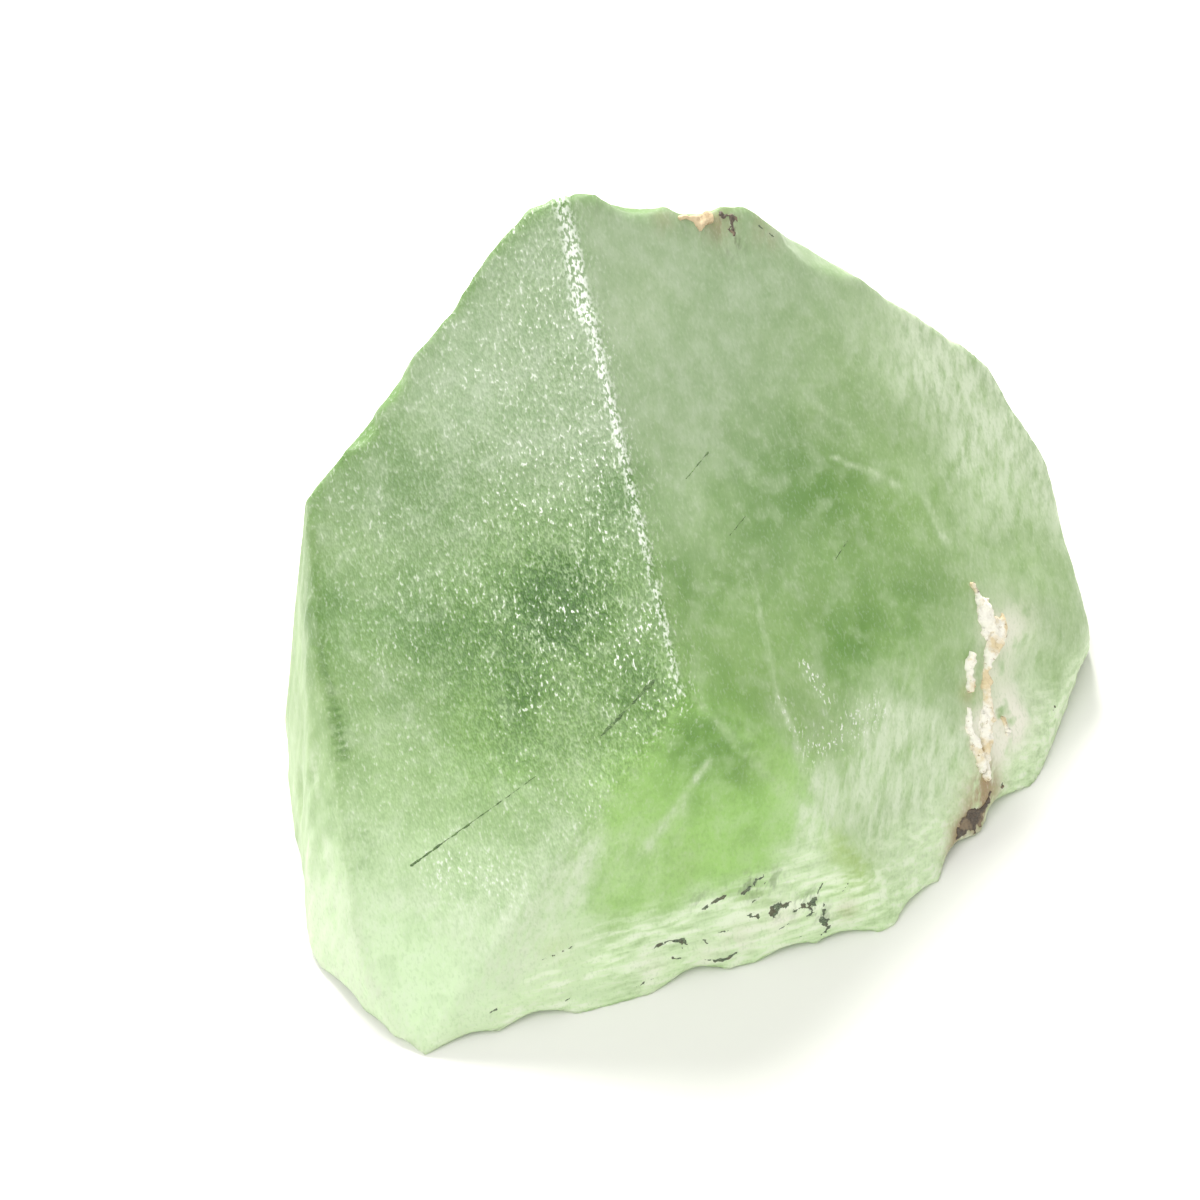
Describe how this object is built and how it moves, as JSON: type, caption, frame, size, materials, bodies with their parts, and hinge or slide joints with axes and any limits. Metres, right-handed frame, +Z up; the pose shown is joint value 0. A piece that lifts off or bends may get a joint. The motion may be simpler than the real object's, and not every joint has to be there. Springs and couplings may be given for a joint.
{
  "type": "peridot crystal with ludwigite needles",
  "caption": "Frosted pale-green peridot crystal with dark ludwigite needles and grains and a tan matrix crust, standing on its broken base.",
  "frame": {"origin": "centre of the footprint of the crystal's bounding box, on the surface that it stands on", "axes": "+Z up, -Y towards the viewer of the picture, +X to the viewer's right"},
  "size_m": [0.0376, 0.0354, 0.0249],
  "materials": {
    "peridot": "satin",
    "ludwigite": "satin",
    "matrix": "matte"
  },
  "bodies": {
    "root": {"peridot_crystal": "peridot", "ludwigite_needle_1": "ludwigite", "ludwigite_needle_2": "ludwigite", "ludwigite_needle_3": "ludwigite", "ludwigite_needle_4": "ludwigite", "ludwigite_needle_5": "ludwigite", "ludwigite_grain_1": "ludwigite", "ludwigite_grain_2": "ludwigite", "ludwigite_grain_3": "ludwigite", "ludwigite_grain_4": "ludwigite", "ludwigite_grain_5": "ludwigite", "ludwigite_grain_6": "ludwigite", "ludwigite_grain_7": "ludwigite", "ludwigite_grain_8": "ludwigite", "ludwigite_patch_side": "ludwigite", "ludwigite_patch_crest": "ludwigite", "matrix_crust_side": "matrix", "matrix_crust_crest": "matrix"}
  },
  "joints": []
}
